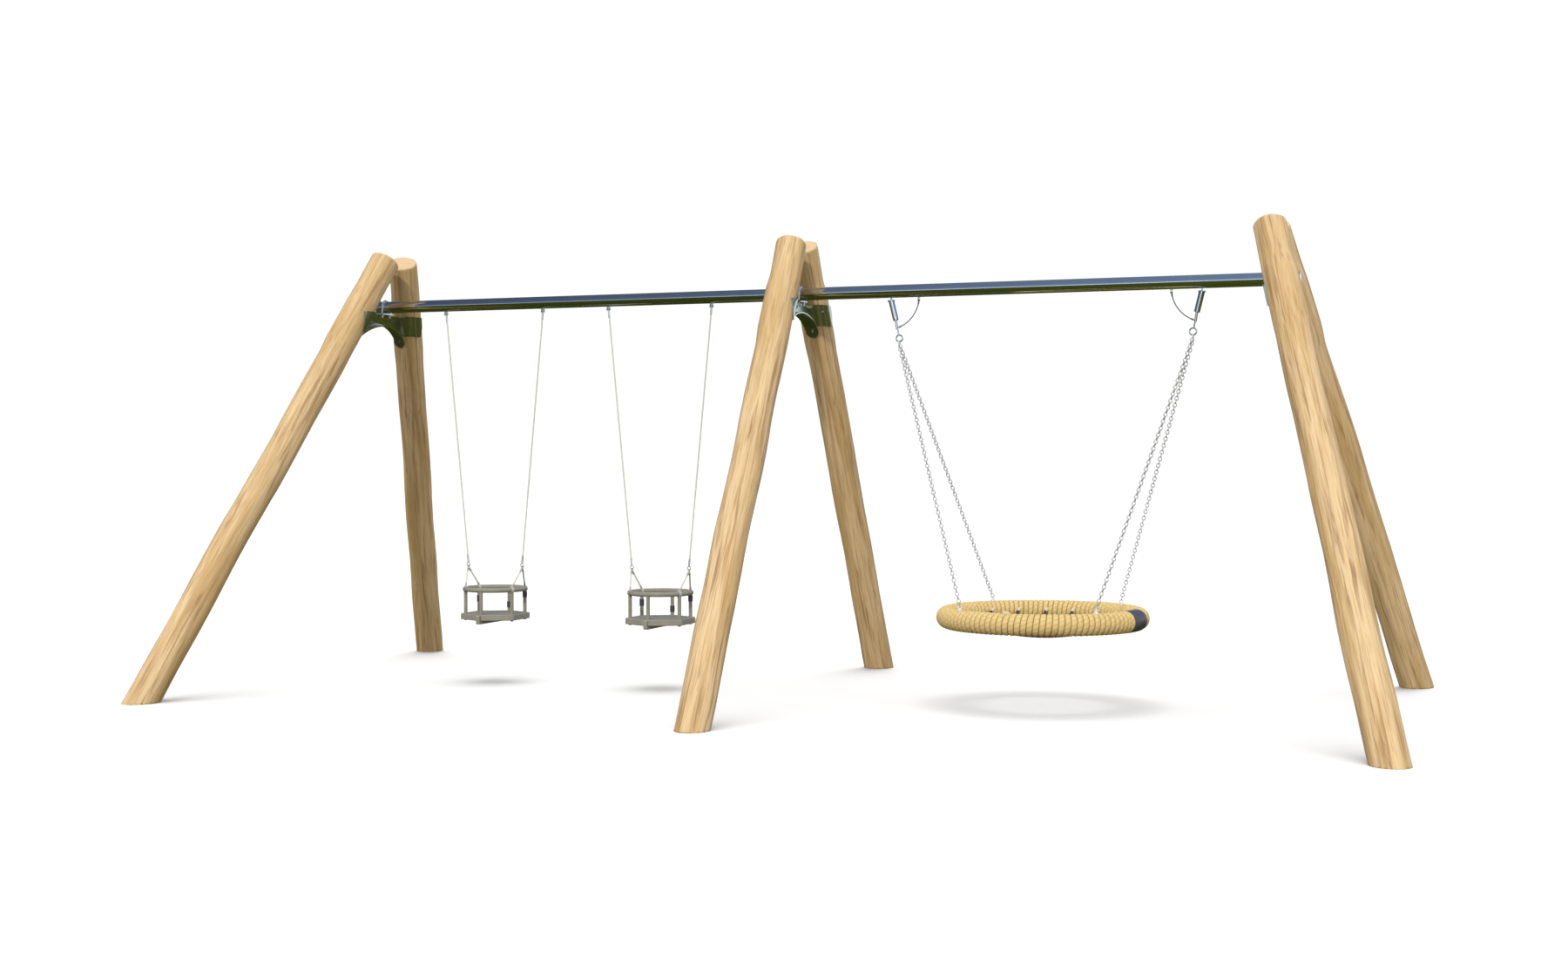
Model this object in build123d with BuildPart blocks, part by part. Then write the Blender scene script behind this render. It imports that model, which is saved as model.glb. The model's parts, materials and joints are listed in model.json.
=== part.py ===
"""Playground swing set: three leaning timber A-frames carry a round steel beam with two cradle seats
and one round nest swing.  Lengths are millimetres; X runs along the beam, Z is up, and the origin is
on the ground under the middle frame."""

import math
import os

from build123d import *

os.makedirs("parts", exist_ok=True)

# ---- driving dimensions ---------------------------------------------------------------------
BEAM_Z = 2400.0          # height of the beam axis
BEAM_R = 38.05           # 76.1 mm tube
BEAM_WALL = 3.6
BEAM_HALF = 2920.0       # half of the beam length

FOOT_X, TOP_X = 3479.0, 2767.0      # end frames lean towards the middle
FOOT_Y, TOP_Y = 1637.0, 100.5       # legs of one frame, at the ground and at the top cut
TOP_Z = 2697.0
FOOT_R, TOP_R = 101.0, 94.0         # peeled round timber, slightly tapered
BURY = 160.0                        # length cut away below the ground plane

STRAP_W, STRAP_T = 80.0, 8.0        # bracket strap
ARCH_Z, ARCH_R = 2286.0, 450.0      # underside of the bracket arch
TIP_Z = 2155.0                      # lower tip of the bracket tongues
COLLAR_Z0, COLLAR_Z1 = 2228.0, 2352.0
WOOD_GAP = 0.8                      # steel stands off the timber
SCREWS = ((2188.0, 0.0), (2290.0, 50.0))    # height, and angle round the leg towards the wing
SCREW_R = 5.0

CRADLES = {"cradle_1": -2042.0, "cradle_2": -898.0}
LINE_TOP, LINE_SPLIT = 345.0, 191.5  # half spacing of a cradle's two lines, at the beam and at the split
PIVOT_Z, SPLIT_Z = 2346.0, 735.0
LINE_R = 5.0
RING_Z, RING_R, RING_TUBE = 594.0, 186.0, 15.0
BAR_R = 11.5
BAR_ANGLES = (28.0, 90.0, 152.0, 208.0, 270.0, 332.0)
BOARD_Z0, BOARD_Z1, BOARD_R = 403.0, 441.0, 220.0

NEST_X = 1490.0
NEST_PIVOT_Z = 2345.0
NEST_HOOP_Z, NEST_HOOP_R, NEST_TUBE = 505.0, 545.0, 62.0
LINK_Z = 2103.5                     # bottom wire of the hanger rings, the tilt axis of the nest
SLEEVE_AT, SLEEVE_SPAN = -11.0, 16.0
NET_Y = (-370.0, -235.0, -80.0, 80.0, 235.0, 370.0)
NET_LOW, NET_R, NET_LAYER = 408.0, 8.0, 9.6
CHAIN_R = 12.0


def save(builder, name):
    """Label a finished piece and write its file."""
    builder.part.label = name
    export_step(builder.part, f"parts/{name}.step")


def along(start, end):
    """A plane at start whose normal points to end, and the distance between the two."""
    d = Vector(*end) - Vector(*start)
    return Plane(origin=start, z_dir=d.normalized()), d.length


def rod(start, end, radius, mode=Mode.ADD):
    """Solid round bar between two points."""
    plane, length = along(start, end)
    with Locations(plane):
        Cylinder(radius, length, align=(Align.CENTER, Align.CENTER, Align.MIN), mode=mode)


def crossbar(x, y, z, radius, width, mode=Mode.ADD):
    """Round bar or hole parallel to the beam, centred at a point."""
    with Locations(Plane(origin=(x, y, z), z_dir=(1, 0, 0))):
        Cylinder(radius, width, mode=mode)


def wire_ring(centre, normal, major, minor, mode=Mode.ADD):
    """Round wire ring."""
    with Locations(Plane(origin=centre, z_dir=normal)):
        Torus(major, minor, mode=mode)


# ---- timber A-frames ------------------------------------------------------------------------
class Frame:
    """Geometry of one A-frame: its leaning plane, its two legs and the fixing points on them."""

    def __init__(self, foot_x, top_x, wing):
        self.foot_x, self.top_x, self.wing = foot_x, top_x, wing
        self.height = math.hypot(top_x - foot_x, TOP_Z)
        self.wx, self.wz = (top_x - foot_x) / self.height, TOP_Z / self.height
        self.slope = (FOOT_Y - TOP_Y) / self.height
        self.cos = 1.0 / math.hypot(1.0, self.slope)
        self.plane = Plane(origin=(foot_x, 0, 0), x_dir=(0, 1, 0), z_dir=(self.wz, 0, -self.wx))

    def x_at(self, z):
        return self.foot_x + (self.top_x - self.foot_x) * z / TOP_Z

    def axis(self, side, z):
        """Point on the axis of the front (-1) or rear (+1) leg."""
        return (self.x_at(z), side * (FOOT_Y + (TOP_Y - FOOT_Y) * z / TOP_Z), z)

    def radius(self, z):
        return FOOT_R + (TOP_R - FOOT_R) * z / TOP_Z

    def inner(self, z, offset):
        """Half width between lines lying offset inside the two inner faces."""
        w = z / self.wz
        return FOOT_Y - self.slope * w - (self.radius(z) + offset) / self.cos

    def start(self, side):
        """Lower end of the blank before the ground cut."""
        a, b = Vector(*self.axis(side, 0)), Vector(*self.axis(side, TOP_Z))
        return tuple(a - (b - a).normalized() * BURY)

    def screw(self, side, z, turn, depth):
        """Point depth mm into the leg along a screw, turned about the leg from its innermost line."""
        reach = self.radius(z) + WOOD_GAP + STRAP_T
        w = z / self.wz + reach * self.slope * self.cos
        run = (depth - reach) * math.cos(math.radians(turn))
        across = -self.wing * (depth - reach) * math.sin(math.radians(turn))
        y, up = FOOT_Y - self.slope * w + run * self.cos, w + run * self.slope * self.cos
        return (self.foot_x + up * self.wx + across * self.wz, side * y, up * self.wz - across * self.wx)


# The third value is the side, along X, to which the wings of the bracket reach round the legs.
FRAMES = {"left": Frame(-FOOT_X, -TOP_X, 1), "middle": Frame(0.0, 0.0, 1), "right": Frame(FOOT_X, TOP_X, -1)}
SIDES = {"front": -1, "rear": 1}


def leg_blank(frame, side, extra, mode=Mode.ADD):
    """Tapered round blank of one leg, grown by extra."""
    plane, length = along(frame.start(side), frame.axis(side, TOP_Z))
    with Locations(plane):
        Cone(FOOT_R + extra, TOP_R + extra, length,
             align=(Align.CENTER, Align.CENTER, Align.MIN), mode=mode)


for place, frame in FRAMES.items():
    for where, side in SIDES.items():
        with BuildPart() as post:
            leg_blank(frame, side, 0.0)
            fillet(post.edges().sort_by(Axis.Z)[-1], 12)
            split(bisect_by=Plane.XY, keep=Keep.TOP)
            for z, turn in SCREWS:
                rod(frame.screw(side, z, turn, -20), frame.screw(side, z, turn, 110), SCREW_R + 0.1,
                    Mode.SUBTRACT)
        save(post, f"post_{place}_{where}")

# ---- beam -----------------------------------------------------------------------------------
for name, x0, x1 in (("beam_left", -BEAM_HALF, -0.5), ("beam_right", 0.5, BEAM_HALF)):
    with BuildPart() as tube:
        crossbar((x0 + x1) / 2, 0, BEAM_Z, BEAM_R, x1 - x0)
        crossbar((x0 + x1) / 2, 0, BEAM_Z, BEAM_R - BEAM_WALL, x1 - x0, Mode.SUBTRACT)
    save(tube, name)

with BuildPart() as spigot:
    crossbar(0, 0, BEAM_Z, BEAM_R - BEAM_WALL - 0.2, 420)
    crossbar(0, 0, BEAM_Z, BEAM_R - BEAM_WALL - 4.5, 420, Mode.SUBTRACT)
save(spigot, "beam_spigot")

with BuildPart() as caps:
    for s in (-1, 1):
        crossbar(s * (BEAM_HALF + 2.1), 0, BEAM_Z, BEAM_R, 4)
        crossbar(s * (BEAM_HALF - 9.9), 0, BEAM_Z, BEAM_R - BEAM_WALL - 0.1, 20)
    fillet(caps.edges().filter_by(GeomType.CIRCLE).filter_by(
        lambda e: abs(e.center().X) > BEAM_HALF + 4), 2)
save(caps, "beam_caps")

# ---- brackets between the legs and the beam ------------------------------------------------
UBOLT_DX, UBOLT_R = 25.0, 5.5
UBOLT_Y = BEAM_R + UBOLT_R + 0.1
PLATE_Z1 = BEAM_Z - BEAM_R - 0.05
PLATE_Z0 = PLATE_Z1 - 10.0


def arch_corner(frame, offset, radius):
    """Where the line lying offset inside the leg meets the arch of the given radius."""
    top, k = ARCH_Z / frame.wz, frame.slope
    centre = top - ARCH_R
    a = FOOT_Y - (frame.radius(ARCH_Z) + offset) / frame.cos
    qa, qb, qc = 1 + k * k, -2 * (a * k + centre), a * a + centre * centre - radius * radius
    w = (-qb + math.sqrt(qb * qb - 4 * qa * qc)) / (2 * qa)
    return a - k * w, w


for place, frame in FRAMES.items():
    outer = arch_corner(frame, WOOD_GAP, ARCH_R + STRAP_T)
    inner = arch_corner(frame, WOOD_GAP + STRAP_T, ARCH_R)
    low = (TIP_Z + 36) / frame.wz
    out_low = outer[0] + frame.slope * (outer[1] - low)
    in_low = inner[0] + frame.slope * (inner[1] - low)
    crown = ARCH_Z / frame.wz
    x_plate = frame.x_at(PLATE_Z0)
    with BuildPart() as bracket:
        with BuildSketch(frame.plane):
            with BuildLine():
                Polyline((-in_low, low), (-out_low, low), (-outer[0], outer[1]))
                ThreePointArc((-outer[0], outer[1]), (0, crown + STRAP_T), outer)
                Polyline(outer, (out_low, low), (in_low, low), inner)
                ThreePointArc(inner, (0, crown), (-inner[0], inner[1]))
                Line((-inner[0], inner[1]), (-in_low, low))
            make_face()
        extrude(amount=STRAP_W / 2, both=True)
        for side in SIDES.values():
            rod(frame.screw(side, TIP_Z + 36, 0, 0), frame.screw(side, TIP_Z + 36, 0, STRAP_T), STRAP_W / 2)
            x, y, _ = frame.axis(side, (COLLAR_Z0 + COLLAR_Z1) / 2)
            with BuildPart(mode=Mode.PRIVATE) as collar:
                leg_blank(frame, side, WOOD_GAP + STRAP_T)
                leg_blank(frame, side, WOOD_GAP, Mode.SUBTRACT)
                with Locations((x + frame.wing * 65, y - side * 62, (COLLAR_Z0 + COLLAR_Z1) / 2)):
                    Box(130, 160, COLLAR_Z1 - COLLAR_Z0, mode=Mode.INTERSECT)
            add(collar.part)
        shoulder = (frame.inner(PLATE_Z0, WOOD_GAP + 4), (PLATE_Z0 + 2) / frame.wz)
        with BuildSketch(frame.plane):
            with BuildLine():
                Polyline((-outer[0] + 6, outer[1]), (-shoulder[0], shoulder[1]), shoulder,
                         (outer[0] - 6, outer[1]))
                ThreePointArc((outer[0] - 6, outer[1]), (0, crown + STRAP_T / 2), (-outer[0] + 6, outer[1]))
            make_face()
        extrude(amount=10, both=True)
        with Locations((x_plate, 0, (PLATE_Z0 + PLATE_Z1) / 2)):
            Box(84, 128, PLATE_Z1 - PLATE_Z0)
        for s in (-1, 1):
            for dx in (-UBOLT_DX, UBOLT_DX):
                rod((x_plate + dx, s * UBOLT_Y, PLATE_Z0 - 5), (x_plate + dx, s * UBOLT_Y, PLATE_Z1 + 5),
                    UBOLT_R + 0.4, Mode.SUBTRACT)
            leg_blank(frame, s, WOOD_GAP, Mode.SUBTRACT)
            for z, turn in SCREWS:
                rod(frame.screw(s, z, turn, -40), frame.screw(s, z, turn, 30), SCREW_R + 0.4, Mode.SUBTRACT)
    save(bracket, f"bracket_{place}")

    with BuildPart() as ubolts:
        for dx in (-UBOLT_DX, UBOLT_DX):
            x = x_plate + dx
            with Locations(Plane(origin=(x, 0, BEAM_Z), x_dir=(0, 1, 0), z_dir=(1, 0, 0))):
                Torus(UBOLT_Y, UBOLT_R, major_angle=180, align=None)
            for s in (-1, 1):
                rod((x, s * UBOLT_Y, PLATE_Z0 - 19), (x, s * UBOLT_Y, BEAM_Z), UBOLT_R)
                with BuildSketch(Plane.XY.offset(PLATE_Z0 - 9.1)):
                    with Locations((x, s * UBOLT_Y)):
                        RegularPolygon(9.0, 6, major_radius=True)
                extrude(amount=9)
    save(ubolts, f"ubolts_{place}")

    with BuildPart() as screws:
        for side in SIDES.values():
            for z, turn in SCREWS:
                rod(frame.screw(side, z, turn, -1), frame.screw(side, z, turn, 100), SCREW_R)
                rod(frame.screw(side, z, turn, -2.6), frame.screw(side, z, turn, -0.1), 13)
                head, _ = along(frame.screw(side, z, turn, -2.5), frame.screw(side, z, turn, -10))
                with BuildSketch(head):
                    RegularPolygon(9.2, 6, major_radius=True)
                extrude(amount=7)
    save(screws, f"screws_{place}")

# ---- clevises and pins under the beam ------------------------------------------------------
def clevis(x, pin_z, gap, ear, width, bottom):
    """U-shaped lug welded under the beam, with a hole for a pin along X."""
    top = BEAM_Z - 10
    with Locations((x, 0, (top + bottom) / 2)):
        Box(gap + 2 * ear, width, top - bottom)
    with Locations((x, 0, (bottom + PLATE_Z0 + 4) / 2)):
        Box(gap, width + 2, PLATE_Z0 + 4 - bottom, mode=Mode.SUBTRACT)
    crossbar(x, 0, BEAM_Z, BEAM_R + 0.02, gap + 2 * ear + 2, Mode.SUBTRACT)


CRADLE_X = [x + s * LINE_TOP for x in CRADLES.values() for s in (-1, 1)]
PIN_R, NEST_PIN_R, EYE_PIN_R = 4.0, 4.0, 3.0

with BuildPart() as lugs:
    for x in CRADLE_X:
        clevis(x, PIVOT_Z, 12, 3, 18, PIVOT_Z - 8)
    fillet(lugs.edges().filter_by(Axis.X).filter_by(lambda e: e.center().Z < PIVOT_Z), 7)
    for x in CRADLE_X:
        crossbar(x, 0, PIVOT_Z, PIN_R + 0.05, 40, Mode.SUBTRACT)
save(lugs, "cradle_clevises")

with BuildPart() as pins:
    for x in CRADLE_X:
        crossbar(x, 0, PIVOT_Z, PIN_R, 22)
        for s in (-1, 1):
            crossbar(x + s * 11.1, 0, PIVOT_Z, 6.5, 4)
save(pins, "cradle_pins")

NEST_SIDES = (-1, 1)
NEST_PIVOT, NEST_END, NEST_RING, NEST_TIE, NEST_EYE = 902.0, 874.0, 853.0, 866.0, 734.0
END_Z, TIE_Z, RING_CENTRE_Z = 2230.0, 2187.0, LINK_Z + 19.5

with BuildPart() as lugs:
    for s in NEST_SIDES:
        x = NEST_X + s * NEST_PIVOT
        crossbar(x, 0, NEST_PIVOT_Z, 9, 8)
        with Locations((x, 0, (NEST_PIVOT_Z + BEAM_Z - 10) / 2)):
            Box(8, 10, BEAM_Z - 10 - NEST_PIVOT_Z)
        crossbar(x, 0, BEAM_Z, BEAM_R + 0.02, 12, Mode.SUBTRACT)
        crossbar(x, 0, NEST_PIVOT_Z, NEST_PIN_R + 0.06, 12, Mode.SUBTRACT)
save(lugs, "nest_lugs")

with BuildPart() as pins:
    for s in NEST_SIDES:
        x = NEST_X + s * NEST_PIVOT
        crossbar(x, 0, NEST_PIVOT_Z, NEST_PIN_R, 37)
        for t in (-1, 1):
            crossbar(x + t * 19.6, 0, NEST_PIVOT_Z, 6.5, 3)
save(pins, "nest_pins")

with BuildPart() as eyes:
    for s in NEST_SIDES:
        clevis(NEST_X + s * NEST_EYE, NEST_PIVOT_Z, 8, 2.5, 14, NEST_PIVOT_Z - 7)
    fillet(eyes.edges().filter_by(Axis.X).filter_by(lambda e: e.center().Z < NEST_PIVOT_Z), 6)
    for s in NEST_SIDES:
        crossbar(NEST_X + s * NEST_EYE, 0, NEST_PIVOT_Z, EYE_PIN_R, 16)
save(eyes, "nest_cable_eyes")


# ---- cradle swings --------------------------------------------------------------------------
def on_line(x, s, d):
    """Point d mm down a cradle's suspension line from its pivot."""
    a = Vector(x + s * LINE_TOP, 0, PIVOT_Z)
    b = Vector(x + s * LINE_SPLIT, 0, SPLIT_Z + 22)
    return tuple(a + (b - a).normalized() * d)


LINE_LENGTH = math.hypot(LINE_TOP - LINE_SPLIT, PIVOT_Z - SPLIT_Z - 22)

for name, x in CRADLES.items():
    with BuildPart() as fittings:
        for s in (-1, 1):
            rod(on_line(x, s, 5), on_line(x, s, 13), 4.5)
            rod(on_line(x, s, 11), on_line(x, s, 52), 6.5)
            crossbar(x + s * LINE_TOP, 0, PIVOT_Z, 7.5, 10)
            crossbar(x + s * LINE_TOP, 0, PIVOT_Z, PIN_R + 0.05, 20, Mode.SUBTRACT)
            rod(on_line(x, s, LINE_LENGTH - 45), on_line(x, s, LINE_LENGTH + 1), 6.5)
            wire_ring((x + s * LINE_SPLIT, 0, SPLIT_Z + 11), (0, 1, 0), 11, 3)
    save(fittings, f"{name}_line_ends")

    for where, s in (("left", -1), ("right", 1)):
        with BuildPart() as line:
            rod(on_line(x, s, 52), on_line(x, s, LINE_LENGTH - 45), LINE_R)
        save(line, f"{name}_line_{where}")

        tie = math.radians(BAR_ANGLES[0])
        with BuildPart() as bridle:
            xs = x + s * LINE_SPLIT
            wire_ring((xs, 0, SPLIT_Z - 3.7), (1, 0, 0), 10, 3)
            for t in (-1, 1):
                foot = (x + s * RING_R * math.cos(tie), t * RING_R * math.sin(tie), RING_Z)
                with Locations(Plane(origin=foot, z_dir=(-s * math.sin(tie), t * math.cos(tie), 0))):
                    Cylinder(RING_TUBE + 4.5, 18)
                rod((xs, t * 7, SPLIT_Z - 12), (foot[0], foot[1], RING_Z + 10), 5.5)
                rod((foot[0], foot[1], RING_Z - 24), (foot[0], foot[1], RING_Z - 2), BAR_R + 0.05, Mode.SUBTRACT)
            wire_ring((x, 0, RING_Z), (0, 0, 1), RING_R, RING_TUBE + 0.05, Mode.SUBTRACT)
        save(bridle, f"{name}_bridle_{where}")

    with BuildPart() as ring:
        wire_ring((x, 0, RING_Z), (0, 0, 1), RING_R, RING_TUBE)
    save(ring, f"{name}_ring")

    spots = [(x + RING_R * math.cos(math.radians(a)), RING_R * math.sin(math.radians(a))) for a in BAR_ANGLES]
    with BuildPart() as bars:
        for px, py in spots:
            rod((px, py, BOARD_Z1), (px, py, RING_Z - 5.6), BAR_R)
            rod((px, py, BOARD_Z0 - 1), (px, py, BOARD_Z1 + 1), 5)
            rod((px, py, BOARD_Z0 - 7), (px, py, BOARD_Z0), 9)
        wire_ring((x, 0, RING_Z), (0, 0, 1), RING_R, RING_TUBE + 0.05, Mode.SUBTRACT)
    save(bars, f"{name}_bars")

    with BuildPart() as board:
        with BuildSketch(Plane(origin=(x, 0, BOARD_Z0))):
            hexagon = RegularPolygon(BOARD_R, 6, rotation=30, major_radius=True)
            fillet(hexagon.vertices(), 22)
        extrude(amount=BOARD_Z1 - BOARD_Z0)
        fillet(board.faces().sort_by(Axis.Z)[-1].edges() + board.faces().sort_by(Axis.Z)[0].edges(), 6)
        for px, py in spots:
            rod((px, py, BOARD_Z0 - 5), (px, py, BOARD_Z1 + 5), 5.2, Mode.SUBTRACT)
    save(board, f"{name}_board")

    with BuildPart() as keel:
        with BuildSketch(Plane(origin=(x, 0, 0), x_dir=(0, 1, 0), z_dir=(1, 0, 0))):
            Polygon((214, 383), (-231, 383), (-231, 438), (-217.4, 438), (-217.4, BOARD_Z0 - 0.2),
                    (214, BOARD_Z0 - 0.2), align=None)
        extrude(amount=12.5, both=True)
        fillet(keel.edges().filter_by(Axis.X).filter_by(
            lambda e: e.center().Z < 384 or (e.center().Y < -230 and e.center().Z > 437)), 10)
        for py in (-RING_R, RING_R):
            rod((x, py, BOARD_Z0 - 8), (x, py, BOARD_Z0 + 5), 9.6, Mode.SUBTRACT)
    save(keel, f"{name}_keel")

    with BuildPart() as cuffs:
        for (px, py), z0, z1 in ((spots[2], 502, 545), (spots[1], 462, 500), (spots[0], 538, 574)):
            rod((px, py, z0), (px, py, z1), 14.5)
            rod((px, py, z0 - 1), (px, py, z1 + 1), BAR_R + 0.05, Mode.SUBTRACT)
    save(cuffs, f"{name}_cuffs")


# ---- nest swing -----------------------------------------------------------------------------
for where, s in (("left", -1), ("right", 1)):
    pivot = (NEST_X + s * NEST_PIVOT, 0, NEST_PIVOT_Z)
    end = (NEST_X + s * NEST_END, 0, END_Z)
    tie = (NEST_X + s * NEST_TIE, 0, TIE_Z)
    ring = (NEST_X + s * NEST_RING, 0, RING_CENTRE_Z)
    eye = (NEST_X + s * NEST_EYE, 0, NEST_PIVOT_Z)
    with BuildPart() as hanger:
        plane, length = along(pivot, end)
        with Locations(plane.offset(-3)):
            Cylinder(17, length + 3, align=(Align.CENTER, Align.CENTER, Align.MIN))
        fillet(hanger.edges().filter_by(GeomType.CIRCLE), 1.5)
        with Locations(plane.offset(-5)):
            Cylinder(13.5, 30, align=(Align.CENTER, Align.CENTER, Align.MIN), mode=Mode.SUBTRACT)
        with Locations(plane.offset(length - 8)):
            Cylinder(13.5, 10, align=(Align.CENTER, Align.CENTER, Align.MIN), mode=Mode.SUBTRACT)
        crossbar(*pivot, NEST_PIN_R + 0.05, 50, Mode.SUBTRACT)
        for t in (-1, 1):
            crossbar(pivot[0] + t * 23.1, 0, NEST_PIVOT_Z, 8, 10, Mode.SUBTRACT)
        rod(tuple(plane.offset(length - 12).origin), end, 4.5)
        rod(end, ring, 4.5)
        rod(end, (tie[0], 0, TIE_Z - 9), 7.5)
        wire_ring(ring, (0, 1, 0), 19.5, 4)
        with Locations(Plane(origin=ring, z_dir=(0, 1, 0))):
            Cylinder(15.0, 12, mode=Mode.SUBTRACT)
        wire_ring(ring, (0, 1, 0), 19.5, 4)
    save(hanger, f"nest_hanger_{where}")

    with BuildPart() as cable:
        dx, dz = tie[0] - eye[0], NEST_PIVOT_Z - TIE_Z
        with BuildLine(Plane.XZ) as path:
            ThreePointArc((tie[0] - s * 7.4, TIE_Z), (eye[0] + dx * 0.35, TIE_Z + dz * 0.34),
                          (eye[0], NEST_PIVOT_Z - 4))
        with BuildSketch(Plane(origin=path.line @ 0, z_dir=path.line % 0)):
            Circle(3.5)
        sweep(path=path.line)
        crossbar(*eye, 6, 7)
        crossbar(*eye, EYE_PIN_R + 0.05, 14, Mode.SUBTRACT)
        rod(end, (tie[0], 0, TIE_Z - 9), 7.6, Mode.SUBTRACT)
    save(cable, f"nest_safety_cable_{where}")


def chain_point(s, t, d):
    """Point d mm down the chain that runs from a hanger ring to the hoop."""
    a = Vector(NEST_X + s * NEST_RING, 0, LINK_Z)
    b = Vector(NEST_X + s * 385, t * 385, NEST_HOOP_Z + NEST_TUBE + 14)
    return tuple(a + (b - a).normalized() * d), (b - a).length


for where, s in (("left", -1), ("right", 1)):
    with BuildPart() as chains:
        for t in (-1, 1):
            top, length = chain_point(s, t, 70)
            rod(top, chain_point(s, t, length - 16)[0], CHAIN_R)
    save(chains, f"nest_chains_{where}")

with BuildPart() as links:
    for s in NEST_SIDES:
        xs = NEST_X + s * NEST_RING
        wire_ring((xs, 0, LINK_Z - 5.2), (1, 0, 0), 13, 3.5)
        for t in (-1, 1):
            rod((xs, t * 5, LINK_Z - 17), chain_point(s, t, 69)[0], 5)
            a = (NEST_X + s * 385, t * 385)
            end, length = chain_point(s, t, 0)
            rod((*a, NEST_HOOP_Z + NEST_TUBE - 4), (*a, NEST_HOOP_Z + NEST_TUBE + 4), 15)
            wire_ring((*a, NEST_HOOP_Z + NEST_TUBE + 12), (s, -t, 0), 10, 4)
            rod(chain_point(s, t, length - 15.9)[0], chain_point(s, t, length - 4)[0], 6)
    wire_ring((NEST_X, 0, NEST_HOOP_Z), (0, 0, 1), NEST_HOOP_R, NEST_TUBE + 0.05, Mode.SUBTRACT)
save(links, "nest_chain_fittings")

with BuildPart() as hoop:
    wire_ring((NEST_X, 0, NEST_HOOP_Z), (0, 0, 1), NEST_HOOP_R, 21)
save(hoop, "nest_hoop")


def hoop_arc(start_deg, span, radius):
    """Part of a ring around the hoop, starting at an angle from +X."""
    a = math.radians(start_deg)
    plane = Plane(origin=(NEST_X, 0, NEST_HOOP_Z), x_dir=(math.cos(a), math.sin(a), 0), z_dir=(0, 0, 1))
    with Locations(plane):
        Torus(NEST_HOOP_R, radius, major_angle=span, align=None)
    with Locations(plane):
        Torus(NEST_HOOP_R, 21.1, mode=Mode.SUBTRACT)


with BuildPart() as winding:
    hoop_arc(SLEEVE_AT + SLEEVE_SPAN / 2 + 0.05, 360 - SLEEVE_SPAN - 0.1, NEST_TUBE)
save(winding, "nest_winding")

with BuildPart() as sleeve:
    hoop_arc(SLEEVE_AT - SLEEVE_SPAN / 2, SLEEVE_SPAN, NEST_TUBE)
save(sleeve, "nest_sleeve")


def net_end(c):
    """Half length of the net rope at offset c from the middle, to the inside of the hoop."""
    return math.sqrt((NEST_HOOP_R - NEST_TUBE) ** 2 - c * c)


def net_z(c, u):
    """Height of the net rope at offset c, u along it, before the two layers part."""
    a = net_end(c)
    low = NET_LOW + (NEST_HOOP_Z - NET_LOW) * (c / (NEST_HOOP_R - NEST_TUBE)) ** 2
    sag = NEST_HOOP_Z - low
    big = (a * a + sag * sag) / (2 * sag)
    return low + big - math.sqrt(big * big - u * u)


def net_socket(c, s):
    """Ends of the ferrule on the rope at offset c: along the rope's own slope, into the hoop."""
    u = net_end(c) - 30
    slope = (net_z(c, u) - net_z(c, u - 1)) * 1.01
    return (s * (u + 0.6), net_z(c, u) + 0.6 * slope), (s * (u + 60), net_z(c, u) + 60 * slope)


for name, lift, turn in (("nest_net_long", -NET_LAYER, 0), ("nest_net_cross", NET_LAYER, 1)):
    with BuildPart() as net:
        for c in NET_Y:
            u = net_end(c) - 30
            if turn:
                plane = Plane(origin=(NEST_X + c, 0, lift), x_dir=(0, 1, 0), z_dir=(1, 0, 0))
            else:
                plane = Plane(origin=(NEST_X, c, lift), x_dir=(1, 0, 0), z_dir=(0, -1, 0))
            with BuildLine(plane) as path:
                ThreePointArc((-u, net_z(c, u)), (0, net_z(c, 0)), (u, net_z(c, u)))
            with BuildSketch(Plane(origin=path.line @ 0, z_dir=path.line % 0)):
                Circle(NET_R)
            sweep(path=path.line)
    save(net, name)

with BuildPart() as ferrules:
    for lift, turn in ((-NET_LAYER, 0), (NET_LAYER, 1)):
        for c in NET_Y:
            for s in (-1, 1):
                a, b = net_socket(c, s)
                if turn:
                    rod((NEST_X + c, a[0], a[1] + lift), (NEST_X + c, b[0], b[1] + lift), 10)
                else:
                    rod((NEST_X + a[0], c, a[1] + lift), (NEST_X + b[0], c, b[1] + lift), 10)
    wire_ring((NEST_X, 0, NEST_HOOP_Z), (0, 0, 1), NEST_HOOP_R, NEST_TUBE + 0.05, Mode.SUBTRACT)
save(ferrules, "nest_net_ferrules")
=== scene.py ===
"""Playground swing set: peeled timber A-frames, a round steel beam, two cradle seats and a nest swing.
Builds the looks around the fixed frame.  Lengths are metres, +X runs along the beam and +Z is up."""

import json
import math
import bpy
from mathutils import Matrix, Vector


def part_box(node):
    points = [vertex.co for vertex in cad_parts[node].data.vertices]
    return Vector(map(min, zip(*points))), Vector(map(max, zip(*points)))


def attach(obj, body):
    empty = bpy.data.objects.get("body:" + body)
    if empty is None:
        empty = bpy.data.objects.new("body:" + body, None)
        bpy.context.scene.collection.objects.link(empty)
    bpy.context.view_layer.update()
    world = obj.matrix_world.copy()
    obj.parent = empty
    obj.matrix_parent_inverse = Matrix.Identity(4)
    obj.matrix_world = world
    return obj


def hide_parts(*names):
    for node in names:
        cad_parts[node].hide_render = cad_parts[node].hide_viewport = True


bl_info = {
    "name": "Playground Swing Set",
    "version": (1, 0, 0),
    "blender": (4, 5, 0),
    "location": "3D View > Sidebar > Swing Set",
    "description": "Builds the timber, ropes, chains, finishes and stage of a playground swing set",
    "category": "Object",
}

import bmesh
import bpy
from bpy.props import FloatProperty, FloatVectorProperty, IntProperty, PointerProperty
from mathutils import Matrix, Vector, noise

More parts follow.
